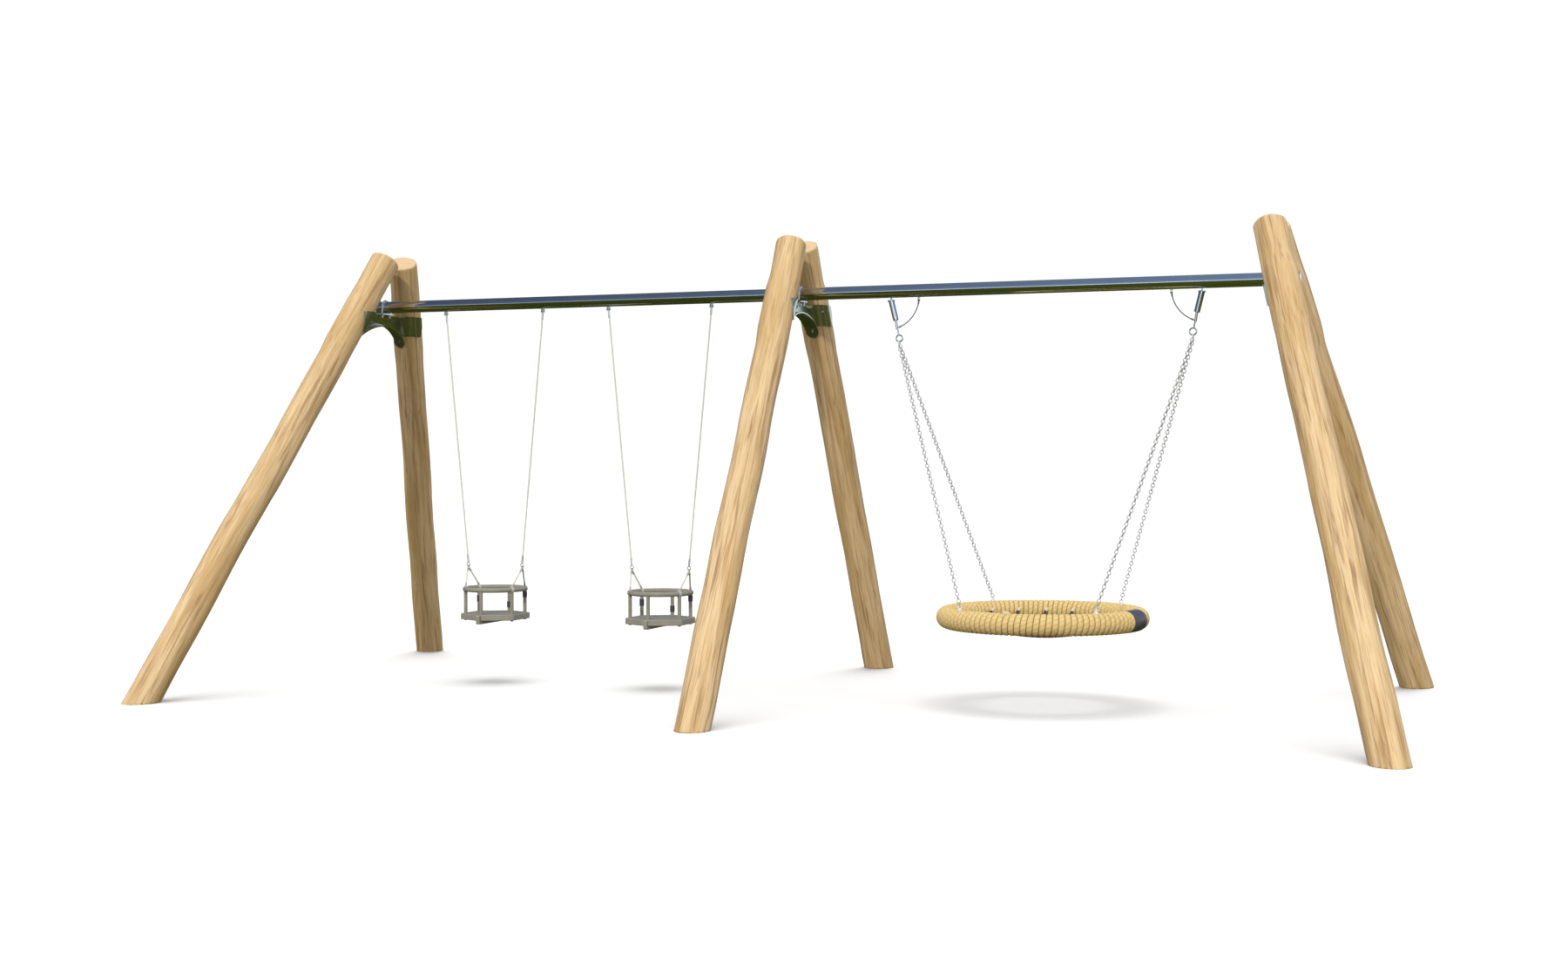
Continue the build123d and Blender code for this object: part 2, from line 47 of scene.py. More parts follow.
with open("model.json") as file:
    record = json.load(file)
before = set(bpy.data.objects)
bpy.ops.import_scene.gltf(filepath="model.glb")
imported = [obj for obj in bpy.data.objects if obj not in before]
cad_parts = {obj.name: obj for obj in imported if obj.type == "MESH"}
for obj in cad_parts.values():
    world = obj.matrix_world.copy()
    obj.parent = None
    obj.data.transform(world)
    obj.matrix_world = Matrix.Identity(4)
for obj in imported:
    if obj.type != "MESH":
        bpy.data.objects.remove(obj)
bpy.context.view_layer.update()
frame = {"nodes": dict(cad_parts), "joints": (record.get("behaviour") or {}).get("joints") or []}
JOINTS = {joint["name"]: joint for joint in frame["joints"]}
MM = 0.001

# Timber legs: half spacings of the feet and of the tops, height of the tops, radii of the taper.
FOOT_X, FOOT_Y, FOOT_R = 3479 * MM, 1637 * MM, 101 * MM
TOP_X, TOP_Y, TOP_Z, TOP_R = 2767 * MM, 100.5 * MM, 2697 * MM, 94 * MM
BURY = 160 * MM                           # length of the blank below the ground cut
COLLAR_LOW, COLLAR_HIGH = 2.16, 2.40      # heights between which steel clasps the legs
PLACES = {"left": -1, "middle": 0, "right": 1}
SIDES = {"front": -1, "rear": 1}

# Nest swing, from its hinges and from the winding on its hoop.
NEST_X = JOINTS["nest_swing"]["pos_m"][0]
LINK_Z = JOINTS["nest_tilt"]["pos_m"][2]
WIND_LOW, WIND_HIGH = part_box("nest_winding")
HOOP_Z = (WIND_LOW.z + WIND_HIGH.z) / 2
HOOP_TUBE = (WIND_HIGH.z - WIND_LOW.z) / 2
HOOP_R = (WIND_HIGH.y - WIND_LOW.y) / 2 - HOOP_TUBE
SLEEVE_AT, SLEEVE_HALF = math.radians(-11), math.radians(8)
RING_X, CHAIN_FOOT = 853 * MM, 385 * MM   # hanger rings from the middle; chain feet on the hoop
CABLE_EYE_X, CABLE_TIE_X, CABLE_TIE_Z = 734 * MM, 866 * MM, 2187 * MM   # ends of a safety cable
NET_OFFSETS = (-370 * MM, -235 * MM, -80 * MM, 80 * MM, 235 * MM, 370 * MM)
NET_LOW, NET_R, NET_LAYER = 408 * MM, 8 * MM, 9.6 * MM

# Cradle seats.
CRADLES = ("cradle_1", "cradle_2")
RING_Z, RING_R, RING_TUBE = 594 * MM, 186 * MM, 15 * MM
LINE_SPLIT = 191.5 * MM
STRAP_ANGLE = math.radians(28)


# ---- settings a user would change -----------------------------------------------------------
def colour(name, description, default):
    return FloatVectorProperty(name=name, description=description, subtype="COLOR", size=3,
                               min=0, max=1, default=default)


def length(name, description, default):
    return FloatProperty(name=name, description=description, unit="LENGTH", min=0, default=default)


class SwingTimber(bpy.types.PropertyGroup):
    """Peeled round timber."""

    pale: colour("Pale wood", "Colour of the open wood between the streaks", (0.585, 0.43, 0.245))
    golden: colour("Golden wood", "Colour of the wider bands of the wood", (0.47, 0.315, 0.140))
    streak: colour("Streak", "Colour of the long brown streaks", (0.255, 0.145, 0.068))
    end_grain: colour("End grain", "Colour of the cut ends", (0.56, 0.41, 0.255))
    wander: length("Wander", "How far the surface of a leg wanders inwards from the true taper", 0.009)
    bend: length("Bend", "How far the middle of a leg wanders sideways from its axis", 0.011)
    around: IntProperty(name="Faces around", description="Faces round one leg", min=24, default=72)
    along: IntProperty(name="Faces along", description="Faces along one leg", min=60, default=230)


class SwingRope(bpy.types.PropertyGroup):
    """Ropes of the nest and wire ropes of the cradles."""

    turns: IntProperty(name="Turns", description="Turns of rope round the hoop", min=20, default=104)
    tan: colour("Rope", "Colour of the rope wound round the hoop", (0.585, 0.435, 0.195))
    # Painted shade: the rope colour in the grooves between strands and between turns of the hoop; it also
    # colours the dirt patches.
    shade: colour("Rope shade", "Colour of the rope in the grooves between strands", (0.22, 0.155, 0.055))
    net: colour("Net", "Colour of the net ropes", (0.050, 0.043, 0.030))
    wire: colour("Wire", "Colour of the wire ropes", (0.66, 0.66, 0.60))
    lay: length("Lay", "Length of one full twist of a wire rope", 0.085)


class SwingSteel(bpy.types.PropertyGroup):
    """Bare and galvanised steel."""

    bright: colour("Bright", "Colour of polished and zinc plated steel", (0.83, 0.84, 0.85))
    brass: colour("Ferrules", "Colour of the ferrules at the ends of the net ropes", (0.78, 0.72, 0.52))
    galvanised: colour("Galvanised", "Colour of dull galvanised plate", (0.52, 0.53, 0.40))
    wire_size: length("Link wire", "Thickness of the wire of a chain link", 0.0055)
    pitch: length("Pitch", "Inner length of a chain link", 0.0205)
    width: length("Link width", "Outer width of a chain link", 0.0240)


class SwingSeat(bpy.types.PropertyGroup):
    """Moulded seats and the joint sleeve of the hoop."""

    body: colour("Seat", "Colour of the moulded seat and its coated tubes", (0.205, 0.198, 0.165))
    # Colour of the dark bands on two bars of each seat.
    dark_band: colour("Dark band", "Colour of the dark rubber sleeves", (0.035, 0.035, 0.05))
    sleeve: colour("Joint sleeve", "Colour of the joint sleeve of the hoop", (0.050, 0.052, 0.060))


class SwingStage(bpy.types.PropertyGroup):
    """Camera, light and floor."""

    camera: FloatVectorProperty(name="Camera", description="Place of the camera", subtype="XYZ",
                                unit="LENGTH", default=(3.9276, -10.9902, 1.4185))
    turn: FloatVectorProperty(name="Camera turn", description="Rotation of the camera", subtype="EULER",
                              default=(math.radians(89.087), math.radians(0.084), math.radians(20.0617)))
    lens: FloatProperty(name="Lens", description="Focal length in millimetres", min=10, default=44.70)
    key: FloatProperty(name="Key light", description="Strength of the key light", min=0, default=2.35)
    overhead: FloatProperty(name="Overhead light", min=0, default=2.2,
                            description="Strength of the light that shades the floor")
    sky: FloatProperty(name="Soft light", description="Strength of the soft light from above", min=0,
                       default=1.22)


SETTINGS = {"swing_timber": SwingTimber, "swing_rope": SwingRope, "swing_steel": SwingSteel,
            "swing_seat": SwingSeat, "swing_stage": SwingStage}


# ---- node helpers ---------------------------------------------------------------------------
def add(tree, kind, inputs=None, **settings):
    """New node; inputs maps a socket's name or index to a value or to another socket."""
    node = tree.nodes.new(kind)
    for key, value in settings.items():
        setattr(node, key, value)
    for key, value in (inputs or {}).items():
        if isinstance(value, bpy.types.NodeSocket):
            tree.links.new(value, node.inputs[key])
        else:
            node.inputs[key].default_value = value
    return node


def math_node(tree, operation, *values, clamp=False):
    return add(tree, "ShaderNodeMath", dict(enumerate(values)), operation=operation,
               use_clamp=clamp).outputs[0]


def noise_node(tree, vector, scale, detail=3.0, roughness=0.5, distortion=0.0):
    return add(tree, "ShaderNodeTexNoise", {"Vector": vector, "Scale": scale, "Detail": detail,
               "Roughness": roughness, "Distortion": distortion}).outputs["Fac"]


def ramp(tree, value, low, high):
    """Value spread from 0 at low to 1 at high."""
    return add(tree, "ShaderNodeMapRange", {"Value": value, "From Min": low, "From Max": high},
               interpolation_type="SMOOTHSTEP").outputs["Result"]


def blend_colours(tree, mask, first, second, kind="MIX"):
    node = add(tree, "ShaderNodeMix", data_type="RGBA", blend_type=kind)
    for socket, value in ((node.inputs[0], mask), (node.inputs[6], first), (node.inputs[7], second)):
        if isinstance(value, bpy.types.NodeSocket):
            tree.links.new(value, socket)
        else:
            socket.default_value = value
    return node.outputs[2]


def stretch(tree, vector, scale):
    return add(tree, "ShaderNodeMapping", {"Vector": vector, "Scale": scale}).outputs["Vector"]


KINDS = {"vector": "NodeSocketVector", "colour": "NodeSocketColor", "value": "NodeSocketFloat"}


def new_group(name, inputs, outputs):
    """Empty node group with named inputs and outputs; returns the tree, its input node and a finisher."""
    tree = bpy.data.node_groups.new(name, "ShaderNodeTree")
    for title, kind, default in inputs:
        socket = tree.interface.new_socket(title, in_out="INPUT", socket_type=KINDS[kind])
        if default is not None:
            socket.default_value = default
    for title, kind in outputs:
        tree.interface.new_socket(title, in_out="OUTPUT", socket_type=KINDS[kind])
    entry = tree.nodes.new("NodeGroupInput")

    def close(**results):
        leave = tree.nodes.new("NodeGroupOutput")
        for title, socket in results.items():
            tree.links.new(socket, leave.inputs[title])

    return tree, entry.outputs, close


# ---- shared effects -------------------------------------------------------------------------
def timber_effect():
    """Long streaks and fine grain along Z, rings and short cracks on the cut end above End."""
    tree, given, close = new_group(
        "Peeled timber",
        [("Vector", "vector", None), ("End", "value", 3.0), ("Pale", "colour", None),
         ("Golden", "colour", None), ("Streak", "colour", None), ("End grain", "colour", None)],
        [("Color", "colour"), ("Roughness", "value"), ("Height", "value")])
    place = given["Vector"]
    bands = noise_node(tree, stretch(tree, place, (13, 13, 0.9)), 1.0, 3, 0.55, 0.7)
    streaks = noise_node(tree, stretch(tree, place, (38, 38, 1.5)), 1.0, 4, 0.62, 1.0)
    fine = noise_node(tree, stretch(tree, place, (170, 170, 4.0)), 1.0, 4, 0.65)
    fibre = noise_node(tree, stretch(tree, place, (700, 700, 28.0)), 1.0, 2, 0.6)
    wood = blend_colours(tree, ramp(tree, bands, 0.36, 0.64), given["Golden"], given["Pale"])
    brown = math_node(tree, "MULTIPLY", ramp(tree, streaks, 0.49, 0.70), 0.85)
    wood = blend_colours(tree, brown, wood, given["Streak"])
    lines = math_node(tree, "MULTIPLY", ramp(tree, fine, 0.47, 0.66), 0.50)
    wood = blend_colours(tree, lines, wood, given["Streak"])
    flat = stretch(tree, place, (1, 1, 0.0))
    rings = add(tree, "ShaderNodeTexWave", {"Vector": flat, "Scale": 55.0, "Distortion": 3.0,
                "Detail": 2.0, "Detail Scale": 0.25}, wave_type="RINGS", rings_direction="Z").outputs["Fac"]
    cut = blend_colours(tree, math_node(tree, "MULTIPLY", rings, 0.45), given["End grain"], given["Golden"])
    spots = noise_node(tree, stretch(tree, place, (34, 34, 0)), 1.0, 3, 0.6)
    cut = blend_colours(tree, math_node(tree, "MULTIPLY", ramp(tree, spots, 0.55, 0.75), 0.5), cut,
                        given["Streak"])
    high = add(tree, "ShaderNodeSeparateXYZ", {0: place}).outputs["Z"]
    end = math_node(tree, "GREATER_THAN", high, given["End"])
    height = math_node(tree, "ADD", math_node(tree, "MULTIPLY", streaks, 0.9),
                       math_node(tree, "ADD", math_node(tree, "MULTIPLY", fine, 0.5),
                                 math_node(tree, "MULTIPLY", fibre, 0.22)))
    rough = math_node(tree, "ADD", 0.50, math_node(tree, "MULTIPLY", streaks, 0.3))
    close(Color=blend_colours(tree, end, wood, cut), Roughness=rough, Height=height)
    return tree


def steel_effect():
    """Cloudy zinc: two tones, patches of other gloss, fine pits and a few scuffs."""
    tree, given, close = new_group(
        "Zinc finish",
        [("Vector", "vector", None), ("Size", "value", 1.0), ("Light", "colour", None),
         ("Dull", "colour", None), ("Gloss", "value", 0.2), ("Spread", "value", 0.15)],
        [("Color", "colour"), ("Roughness", "value"), ("Height", "value")])
    place = add(tree, "ShaderNodeVectorMath", {0: given["Vector"], "Scale": given["Size"]},
                operation="SCALE").outputs[0]
    cloud = noise_node(tree, place, 9.0, 4, 0.6)
    flake = add(tree, "ShaderNodeTexVoronoi", {"Vector": place, "Scale": 120.0}).outputs["Color"]
    flake = add(tree, "ShaderNodeSeparateColor", {0: flake}).outputs[0]
    scuff = ramp(tree, noise_node(tree, stretch(tree, place, (8, 90, 90)), 1.0, 3, 0.6), 0.62, 0.74)
    pits = noise_node(tree, place, 420.0, 2, 0.6)
    tone = math_node(tree, "ADD", math_node(tree, "MULTIPLY", ramp(tree, cloud, 0.35, 0.7), 0.5),
                     math_node(tree, "MULTIPLY", flake, 0.08), clamp=True)
    shade = blend_colours(tree, tone, given["Light"], given["Dull"])
    rough = math_node(tree, "ADD", given["Gloss"], math_node(tree, "MULTIPLY", given["Spread"],
                      math_node(tree, "ADD", cloud, math_node(tree, "MULTIPLY", scuff, 0.7))))
    height = math_node(tree, "ADD", math_node(tree, "MULTIPLY", pits, 0.3),
                       math_node(tree, "MULTIPLY", cloud, 0.7))
    close(Color=shade, Roughness=rough, Height=height)
    return tree


def moulded_effect():
    """Moulded plastic or rubber: fine pebble grain, faint clouds and pale scuffs."""
    tree, given, close = new_group(
        "Moulded surface",
        [("Vector", "vector", None), ("Body", "colour", None), ("Worn", "colour", None),
         ("Gloss", "value", 0.5)],
        [("Color", "colour"), ("Roughness", "value"), ("Height", "value")])
    place = given["Vector"]
    cloud = noise_node(tree, place, 14.0, 4, 0.55)
    pebble = add(tree, "ShaderNodeTexVoronoi", {"Vector": place, "Scale": 650.0}).outputs["Distance"]
    dust = noise_node(tree, place, 190.0, 3, 0.7)
    scuff = ramp(tree, noise_node(tree, stretch(tree, place, (25, 25, 90)), 1.0, 4, 0.65), 0.60, 0.72)
    worn = math_node(tree, "ADD", math_node(tree, "MULTIPLY", ramp(tree, cloud, 0.4, 0.72), 0.35),
                     math_node(tree, "ADD", math_node(tree, "MULTIPLY", scuff, 0.3),
                               math_node(tree, "MULTIPLY", dust, 0.18)), clamp=True)
    rough = math_node(tree, "ADD", given["Gloss"], math_node(tree, "MULTIPLY", cloud, 0.2))
    height = math_node(tree, "ADD", pebble, math_node(tree, "MULTIPLY", dust, 0.4))
    close(Color=blend_colours(tree, worn, given["Body"], given["Worn"]), Roughness=rough, Height=height)
    return tree


def fibre_effect():
    """Laid rope on its own UV: Strands twisted lines across the rope, hair along them and dirt, with
    painted shade in the valleys between strands and in the grooves between turns.
    """
    tree, given, close = new_group(
        "Laid fibre",
        [("UV", "vector", None), ("Place", "vector", None), ("Twists", "value", 40.0),
         ("Strands", "value", 3.0), ("Strand shade", "value", 1.0), ("Groove shade", "value", 0.0),
         ("Light", "colour", None), ("Shade", "colour", None)],
        [("Color", "colour"), ("Roughness", "value"), ("Height", "value")])
    parts = add(tree, "ShaderNodeSeparateXYZ", {0: given["UV"]})
    around = math_node(tree, "MULTIPLY", parts.outputs["X"], given["Strands"])
    run = math_node(tree, "MULTIPLY", parts.outputs["Y"], given["Twists"])
    turn = math_node(tree, "FRACT", math_node(tree, "ADD", around, run))
    ridge = math_node(tree, "SINE", math_node(tree, "MULTIPLY", turn, math.pi))
    hair = noise_node(tree, stretch(tree, given["Place"], (330, 330, 330)), 1.0, 3, 0.7)
    dirt = noise_node(tree, given["Place"], 17.0, 4, 0.6)
    # Painted shade: the valleys between strands darken towards the Shade colour.
    strand_shade = math_node(tree, "MULTIPLY", given["Strand shade"],
                       math_node(tree, "SUBTRACT", 1.0, ramp(tree, ridge, 0.05, 0.65)))
    light = math_node(tree, "MULTIPLY", math_node(tree, "SUBTRACT", 1.0, strand_shade),
                      ramp(tree, hair, 0.05, 0.55))
    # Painted shade: where one turn of the rope meets the next, the rope darkens towards the Shade colour.
    side = math_node(tree, "ABSOLUTE", math_node(tree, "SINE",
                     math_node(tree, "MULTIPLY", parts.outputs["X"], math.tau)))
    groove_shade = math_node(tree, "MULTIPLY", given["Groove shade"],
                     math_node(tree, "SUBTRACT", 1.0, ramp(tree, side, 0.05, 0.75)))
    light = math_node(tree, "MULTIPLY", light, math_node(tree, "SUBTRACT", 1.0, groove_shade))
    shade = blend_colours(tree, light, given["Shade"], given["Light"])
    shade = blend_colours(tree, math_node(tree, "MULTIPLY", ramp(tree, dirt, 0.52, 0.75), 0.35), shade,
                          given["Shade"])
    height = math_node(tree, "ADD", ridge, math_node(tree, "MULTIPLY", hair, 0.55))
    rough = math_node(tree, "ADD", 0.62, math_node(tree, "MULTIPLY", hair, 0.3))
    close(Color=shade, Roughness=rough, Height=height)
    return tree


EFFECTS = {}


def effect(maker):
    """The node group of an effect, built the first time that it is asked for."""
    if maker.__name__ not in EFFECTS:
        EFFECTS[maker.__name__] = maker()
    return EFFECTS[maker.__name__]


# ---- materials ------------------------------------------------------------------------------
def finish_material(name, maker, inputs, depth, distance, **sockets):
    """Material whose colour, roughness and relief come from one effect; sockets go on the shader."""
    material = bpy.data.materials.new(name)
    material.use_nodes = True
    tree = material.node_tree
    tree.nodes.clear()
    source = tree.nodes.new("ShaderNodeTexCoord")
    group = tree.nodes.new("ShaderNodeGroup")
    group.node_tree = effect(maker)
    for key, value in inputs.items():
        group.inputs[key].default_value = value
    if "UV" in group.inputs:
        tree.links.new(source.outputs["UV"], group.inputs["UV"])
        tree.links.new(source.outputs["Object"], group.inputs["Place"])
    else:
        tree.links.new(source.outputs["Object"], group.inputs["Vector"])
    bump = add(tree, "ShaderNodeBump", {"Height": group.outputs["Height"], "Strength": depth,
               "Distance": distance})
    shader = add(tree, "ShaderNodeBsdfPrincipled", {"Base Color": group.outputs["Color"],
                 "Roughness": group.outputs["Roughness"], "Normal": bump.outputs[0]})
    for key, value in sockets.items():
        shader.inputs[key.replace("_", " ")].default_value = value
    leave = tree.nodes.new("ShaderNodeOutputMaterial")
    tree.links.new(shader.outputs[0], leave.inputs[0])
    material.diffuse_color = (0.5, 0.45, 0.35, 1)
    return material


def rgba(colour_value, factor=1.0):
    return tuple(min(1.0, c * factor) for c in colour_value) + (1.0,)


def timber_material(name, foot, top):
    """Wood whose grain runs along one leg."""
    timber = bpy.context.scene.swing_timber
    axis = top - foot
    material = finish_material(
        f"timber_{name}", timber_effect,
        {"End": axis.length - 0.0115, "Pale": rgba(timber.pale), "Golden": rgba(timber.golden),
         "Streak": rgba(timber.streak), "End grain": rgba(timber.end_grain)},
        0.55, 0.0016, Specular_IOR_Level=0.42)
    tree = material.node_tree
    group = next(n for n in tree.nodes if n.type == "GROUP")
    source = next(n for n in tree.nodes if n.type == "TEX_COORD")
    turn = axis.to_track_quat("Z", "Y").to_matrix().to_4x4()
    # Texture mapping: rotate and move the place, so that Z starts at the foot and runs up the leg.
    inverse = (Matrix.Translation(foot) @ turn).inverted()
    mapping = add(tree, "ShaderNodeMapping", {"Vector": source.outputs["Object"],
                  "Location": inverse.to_translation(), "Rotation": inverse.to_euler()})
    tree.links.new(mapping.outputs[0], group.inputs["Vector"])
    return material


def paint(material, *names):
    """Give CAD nodes a material."""
    for name in names:
        node = frame["nodes"][name]
        if not node.material_slots:
            node.data.materials.append(material)
        for slot in node.material_slots:
            slot.material = material


# ---- mesh helpers ---------------------------------------------------------------------------
def clamped(value):
    """Value held between 0 and 1."""
    return min(1.0, max(0.0, value))


def piece(name, bm, material, body, replaced=(), smooth=True):
    """Finish a bmesh as a named piece that rides on a body and stands for CAD nodes."""
    mesh = bpy.data.meshes.new(name)
    bm.to_mesh(mesh)
    bm.free()
    mesh.materials.append(material)
    if smooth:
        mesh.shade_smooth()
    made = bpy.data.objects.new(name, mesh)
    bpy.context.scene.collection.objects.link(made)
    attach(made, body)
    if replaced:
        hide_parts(*replaced)
    return made


def rolled(bm, around, along, surface):
    """Grid rolled into a tube: surface(u, v) places a point from u round the tube and v along it."""
    before = set(bm.verts)
    if not bm.loops.layers.uv:
        bm.loops.layers.uv.new("UVMap")
    bmesh.ops.create_grid(bm, x_segments=around, y_segments=along, size=0.5, calc_uvs=True)
    verts = [v for v in bm.verts if v not in before]
    for v in verts:
        v.co = surface(v.co.x + 0.5, v.co.y + 0.5)
    bmesh.ops.remove_doubles(bm, verts=verts, dist=2e-6)
    verts = [v for v in bm.verts if v not in before]
    rims = {e for v in verts for e in v.link_edges if e.is_boundary}
    bmesh.ops.holes_fill(bm, edges=list(rims), sides=0)
    bmesh.ops.recalc_face_normals(bm, faces=list({f for v in verts for f in v.link_faces}))


def straight(start, end):
    """Path between two points: place and two crosswise directions at v."""
    axis = (end - start).normalized()
    side = axis.orthogonal().normalized()
    other = axis.cross(side)
    return (lambda v: (start.lerp(end, v), side, other)), (end - start).length


def bowed(start, middle, end):
    """Circular path through three points: place and two crosswise directions at v."""
    a, b = middle - start, end - start
    normal = a.cross(b).normalized()
    centre = start + (b.length_squared * a.cross(b).cross(a) + a.length_squared * b.cross(a.cross(b))) / (
        2 * a.cross(b).length_squared)
    spoke = start - centre
    arm = end - centre
    sweep = math.atan2(spoke.cross(arm).dot(normal), spoke.dot(arm)) % (2 * math.pi)

    def at(v):
        out = Matrix.Rotation(sweep * v, 3, normal) @ spoke
        return centre + out, out.normalized(), normal

    return at, sweep * spoke.length


def laid(bm, path, run, radius, strands, lay, per_strand=4, steps_per_lay=9):
    """Rope of twisted strands along a path."""
    turns = run / lay

    def surface(u, v):
        place, side, other = path(v)
        groove = 0.80 + 0.20 * abs(math.cos(math.pi * strands * u)) ** 0.8
        angle = math.tau * (u + turns * v)
        return place + radius * groove * (math.cos(angle) * side + math.sin(angle) * other)

    steps = max(4, round(turns * steps_per_lay))
    rolled(bm, strands * per_strand, steps, surface)


def torus(bm, centre, normal, major, minor, steps=32, sides=12):
    """Round wire bent into a ring by spinning a circle."""
    normal = Vector(normal).normalized()
    spoke = normal.orthogonal().normalized()
    turn = Matrix((spoke, normal, spoke.cross(normal))).transposed().to_4x4()
    place = Matrix.Translation(Vector(centre) + spoke * major) @ turn
    verts = bmesh.ops.create_circle(bm, segments=sides, radius=minor, matrix=place)["verts"]
    edges = list({e for v in verts for e in v.link_edges})
    before = set(bm.verts) - set(verts)
    bmesh.ops.spin(bm, geom=verts + edges, cent=centre, axis=normal, angle=math.tau, steps=steps,
                   use_merge=True)
    made = [v for v in bm.verts if v not in before]
    bmesh.ops.recalc_face_normals(bm, faces=list({f for v in made for f in v.link_faces}))


def stud(bm, start, end, radius, tip_radius=None, sides=24, soften=0.0):
    """Round bar between two points, with softened rims."""
    before = set(bm.verts)
    middle = (start + end) / 2
    turn = (end - start).to_track_quat("Z", "Y").to_matrix().to_4x4()
    bmesh.ops.create_cone(bm, cap_ends=True, segments=sides, radius1=radius,
                          radius2=radius if tip_radius is None else tip_radius,
                          depth=(end - start).length, matrix=Matrix.Translation(middle) @ turn)
    if soften:
        made = [v for v in bm.verts if v not in before]
        rims = [e for e in {e for v in made for e in v.link_edges}
                if any(len(f.verts) > 4 for f in e.link_faces)]
        bmesh.ops.bevel(bm, geom=rims, offset=soften, segments=3, profile=0.5, affect="EDGES", material=-1)


# ---- timber ---------------------------------------------------------------------------------
class SWING_OT_timber(bpy.types.Operator):
    """Six peeled round legs with a wandering surface and softened cut tops"""

    bl_idname = "swing.timber"
    bl_label = "Timber legs"

    def execute(self, context):
        timber = context.scene.swing_timber
        for number, (place, side) in enumerate((p, s) for p in PLACES for s in SIDES):
            foot = Vector((PLACES[place] * FOOT_X, SIDES[side] * FOOT_Y, 0))
            top = Vector((PLACES[place] * TOP_X, SIDES[side] * TOP_Y, TOP_Z))
            self.leg(timber, f"{place}_{side}", foot, top, 7.3 * number)
        return {"FINISHED"}

    def leg(self, timber, name, foot, top, seed):
        axis = (top - foot).normalized()
        run = (top - foot).length
        side = axis.orthogonal().normalized()
        other = axis.cross(side)
        rim = 12 * MM
        rows = timber.along
        last, half = rows - 10, 5         # rows below the softened rim, and rows over the rim alone

        def surface(u, v):
            angle = math.tau * u
            out = math.cos(angle) * side + math.sin(angle) * other
            # The last rows run over the softened rim and in to the middle of the cut top.
            climb = min(1.0, v * rows / last)
            over = max(0.0, v * rows - last)
            high = climb * (run - rim + BURY) - BURY
            radius = FOOT_R + (TOP_R - FOOT_R) * high / run
            where = foot + axis * high
            # Under the collars the leg stays true; its axis is also true at the ground and at the top.
            calm = 1.0 - clamped(min(where.z - COLLAR_LOW + 0.1, COLLAR_HIGH + 0.1 - where.z) / 0.1)
            free = calm * clamped(where.z / 0.5) * clamped((TOP_Z - where.z) / 0.25)
            slow = 1.7 * high
            sway = timber.bend * free * (noise.noise(Vector((seed, 0.5, slow))) * side
                                         + noise.noise(Vector((0.5, seed, slow))) * other)
            spot = Vector((2.3 * out.x, 2.3 * out.y, 1.9 * high)) + Vector((seed, seed, seed))
            small = Vector((7 * out.x, 7 * out.y, 6 * high)) + Vector((seed, 3.0, seed))
            hollow = 0.5 + 0.5 * noise.noise(spot) + 0.16 * noise.noise(small)
            radius -= timber.wander * calm * clamped(hollow)
            if 0 < over <= half:
                bend = over / half * math.pi / 2
                radius, high = radius - rim + rim * math.cos(bend), high + rim * math.sin(bend)
            elif over > half:
                radius, high = (radius - rim) * (1 - (over - half) / half), run
            return foot + axis * high + out * radius + sway

        bm = bmesh.new()
        rolled(bm, timber.around, rows, surface)
        # The blank starts below the ground and is cut off level with it.
        bmesh.ops.bisect_plane(bm, geom=bm.verts[:] + bm.edges[:] + bm.faces[:], plane_co=(0, 0, 0),
                               plane_no=(0, 0, -1), clear_outer=True)
        bmesh.ops.holes_fill(bm, edges=[e for e in bm.edges if e.is_boundary], sides=0)
        bmesh.ops.recalc_face_normals(bm, faces=bm.faces)
        piece(f"leg_{name}", bm, timber_material(name, foot, top), "frame", [f"post_{name}"])


# ---- steel of the frame ---------------------------------------------------------------------
class SWING_OT_steel(bpy.types.Operator):
    """Beam, brackets, U-bolts, screws, lugs and hangers in zinc finishes"""

    bl_idname = "swing.steel"
    bl_label = "Steel finishes"

    def execute(self, context):
        steel = context.scene.swing_steel
        bright, dull = rgba(steel.bright), rgba(steel.galvanised)
        beam = finish_material("beam_steel", steel_effect,
                               {"Size": 1.0, "Light": bright, "Dull": rgba(steel.bright, 0.86),
                                "Gloss": 0.06, "Spread": 0.07}, 0.02, 0.0003, Metallic=1.0)
        plate = finish_material("bracket_steel", steel_effect,
                                {"Size": 1.0, "Light": dull, "Dull": rgba(steel.galvanised, 0.8),
                                 "Gloss": 0.15, "Spread": 0.06}, 0.02, 0.0003, Metallic=0.95)
        bolt = finish_material("bolt_steel", steel_effect,
                               {"Size": 3.0, "Light": bright, "Dull": rgba(steel.bright, 0.7),
                                "Gloss": 0.22, "Spread": 0.2}, 0.06, 0.0003, Metallic=0.75)
        ferrule = finish_material("ferrule_brass", steel_effect,
                                  {"Size": 3.0, "Light": rgba(steel.brass), "Dull": rgba(steel.brass, 0.8),
                                   "Gloss": 0.35, "Spread": 0.2}, 0.06, 0.0003, Metallic=0.35)
        tube = finish_material("hanger_steel", steel_effect,
                               {"Size": 2.0, "Light": bright, "Dull": rgba(steel.bright, 0.75),
                                "Gloss": 0.05, "Spread": 0.08}, 0.03, 0.0003, Metallic=1.0)
        paint(beam, "beam_left", "beam_right", "beam_spigot", "beam_caps")
        for place in PLACES:
            paint(plate, f"bracket_{place}", f"screws_{place}")
            paint(bolt, f"ubolts_{place}")
        paint(plate, "cradle_clevises", "nest_lugs", "nest_cable_eyes")
        paint(ferrule, "nest_net_ferrules")
        paint(bolt, "cradle_pins", "nest_pins", "nest_hoop",
              *(f"{cradle}_line_ends" for cradle in CRADLES))
        paint(tube, "nest_hanger_left", "nest_hanger_right")
        return {"FINISHED"}


